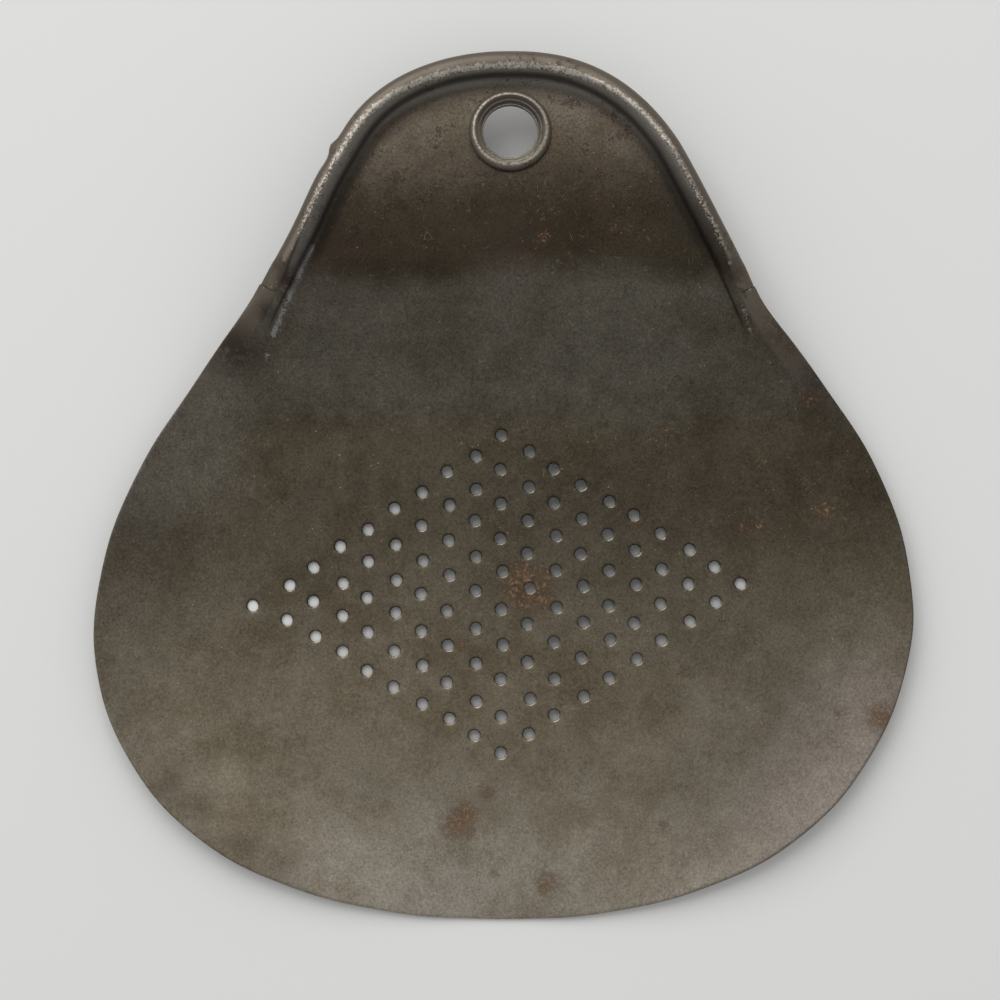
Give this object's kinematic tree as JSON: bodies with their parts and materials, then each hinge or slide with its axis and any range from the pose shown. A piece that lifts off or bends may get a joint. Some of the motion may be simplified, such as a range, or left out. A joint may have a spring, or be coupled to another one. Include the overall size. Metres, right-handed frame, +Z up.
{
  "type": "milk skimmer",
  "caption": "Shallow pear-shaped skimmer of tinned sheet iron, with a diamond of punched holes, a raised handle plate, a wire-rolled rim and a hanging eyelet.",
  "frame": {"origin": "centre of the skimmer in plan, on the underside of the flat floor", "axes": "+Z up out of the pan, +Y from the lip to the handle's crown, +X to the right seen from above with the handle away from the viewer"},
  "size_m": [0.1631, 0.173, 0.016],
  "materials": {
    "tinned_iron": "old tin plate worn to a dull grey-brown patina, with fine rust specks, scratches and a polished rim",
    "iron_wire": "dark oxidised iron wire",
    "eyelet_metal": "dull grey metal, rubbed bright on the crest and in the funnel"
  },
  "bodies": {
    "root": {"skimmer_pan": "tinned_iron", "rim_wire": "iron_wire", "hanging_eyelet": "eyelet_metal"}
  },
  "joints": []
}
